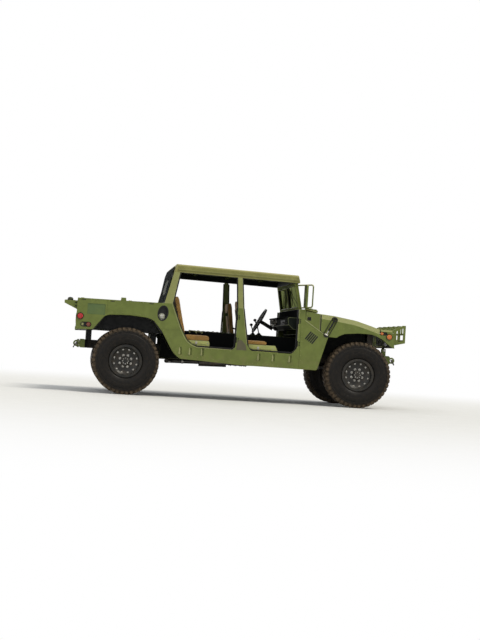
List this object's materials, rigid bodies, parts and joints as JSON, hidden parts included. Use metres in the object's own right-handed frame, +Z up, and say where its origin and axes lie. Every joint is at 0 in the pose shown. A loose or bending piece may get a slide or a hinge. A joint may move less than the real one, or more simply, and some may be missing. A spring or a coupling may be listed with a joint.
{
  "type": "army 4x4 car",
  "caption": "Open military utility car with its doors off: cab with hard roof, short cargo bed, tilting hood, wide tyres, driven steered front wheels.",
  "frame": {"origin": "on the ground below the middle of the car's box", "axes": "+X forwards, +Y to the car's left, +Z up"},
  "size_m": [4.895, 2.274, 1.878],
  "materials": {
    "olive_paint": "satin olive paint",
    "cab_paint": "satin olive paint, dusty",
    "black_paint": "satin black paint",
    "dark_metal": "dull dark steel",
    "clear_glass": "clear laminated glass",
    "lamp_glass": "fluted clear glass",
    "curtain_canvas": "dark coated canvas",
    "tan_canvas": "tan canvas",
    "black_plastic": "matt black",
    "amber_lens": "glossy amber",
    "red_lens": "glossy red",
    "mirror_face": "polished",
    "cast_metal": "rough cast",
    "spring_steel": "black coated coil",
    "tyre_rubber": "dusty black rubber",
    "rim_paint": "satin black paint"
  },
  "bodies": {
    "root": {"frame": "black_paint", "front_bumper": "olive_paint", "rear_bumper": "olive_paint", "cab_floor": "cab_paint", "body_side_right": "olive_paint", "body_side_left": "olive_paint", "filler_cap": "olive_paint", "cowl": "olive_paint", "windshield_frame": "olive_paint", "windshield_glass": "clear_glass", "roof": "olive_paint", "rear_curtain": "curtain_canvas", "cargo_bed": "olive_paint", "aerial_bracket": "olive_paint", "seat_boxes": "olive_paint", "seat_cushions": "tan_canvas", "seat_backs": "tan_canvas", "seat_frames": "cab_paint", "splash_panels": "black_paint", "dashboard": "cab_paint", "steering_column": "black_plastic", "red_lenses": "red_lens", "air_intake": "olive_paint", "mirrors": "olive_paint", "mirror_glass": "mirror_face", "engine_block": "cast_metal", "gearbox": "cast_metal", "radiator": "dark_metal", "exhaust": "dark_metal", "fuel_tank": "black_plastic", "differentials": "cast_metal", "propshafts": "dark_metal", "half_shafts": "dark_metal", "lower_arms": "black_paint", "upper_arms": "black_paint", "springs": "spring_steel", "rear_hubs": "cast_metal"},
    "hood": {"hood": "olive_paint", "headlamps": "lamp_glass", "amber_lenses": "amber_lens", "front_guard": "olive_paint"},
    "tailgate": {"tailgate": "olive_paint"},
    "knuckle_left": {"knuckle_left": "cast_metal"},
    "knuckle_right": {"knuckle_right": "cast_metal"},
    "track_rod": {"track_rod": "dark_metal"},
    "steering_wheel": {"steering_wheel": "black_plastic"},
    "wheel_front_left": {"tyre_front_left": "tyre_rubber", "rim_front_left": "rim_paint"},
    "wheel_front_right": {"tyre_front_right": "tyre_rubber", "rim_front_right": "rim_paint"},
    "wheel_rear_left": {"tyre_rear_left": "tyre_rubber", "rim_rear_left": "rim_paint"},
    "wheel_rear_right": {"tyre_rear_right": "tyre_rubber", "rim_rear_right": "rim_paint"}
  },
  "joints": [
    {"name": "hood_tilt", "type": "hinge", "parent": "root", "child": "hood", "pos_m": [2.2625, 0, 0.85], "axis": [0, 1, 0], "range_deg": [0, 80]},
    {"name": "tailgate_drop", "type": "hinge", "parent": "root", "child": "tailgate", "pos_m": [-2.2635, 0, 0.897], "axis": [0, -1, 0], "range_deg": [0, 170]},
    {"name": "steer_left", "type": "hinge", "parent": "root", "child": "knuckle_left", "pos_m": [1.7535, 0.71, 0.47], "axis": [0, 0, 1], "range_deg": [-28, 28]},
    {"name": "steer_right", "type": "hinge", "parent": "root", "child": "knuckle_right", "pos_m": [1.7535, -0.71, 0.47], "axis": [0, 0, 1], "range_deg": [-28, 28]},
    {"name": "track_rod_swing", "type": "hinge", "parent": "knuckle_left", "child": "track_rod", "pos_m": [1.9835, 0.71, 0.492], "axis": [0, 0, 1], "range_deg": [-28, 28]},
    {"name": "steering_wheel_turn", "type": "hinge", "parent": "root", "child": "steering_wheel", "pos_m": [0.5025, 0.64, 1.19], "axis": [-0.8829, 0, 0.4695], "range_deg": [-420, 420]},
    {"name": "front_left_spin", "type": "hinge", "parent": "knuckle_left", "child": "wheel_front_left", "pos_m": [1.7535, 0.91, 0.47], "axis": [0, 1, 0], "continuous": true},
    {"name": "front_right_spin", "type": "hinge", "parent": "knuckle_right", "child": "wheel_front_right", "pos_m": [1.7535, -0.91, 0.47], "axis": [0, 1, 0], "continuous": true},
    {"name": "rear_left_spin", "type": "hinge", "parent": "root", "child": "wheel_rear_left", "pos_m": [-1.5485, 0.91, 0.47], "axis": [0, 1, 0], "continuous": true},
    {"name": "rear_right_spin", "type": "hinge", "parent": "root", "child": "wheel_rear_right", "pos_m": [-1.5485, -0.91, 0.47], "axis": [0, 1, 0], "continuous": true}
  ],
  "couplings": [
    {"joint": "steer_right", "follows": "steer_left", "ratio": 1},
    {"joint": "track_rod_swing", "follows": "steer_left", "ratio": -1},
    {"joint": "steering_wheel_turn", "follows": "steer_left", "ratio": 15}
  ]
}
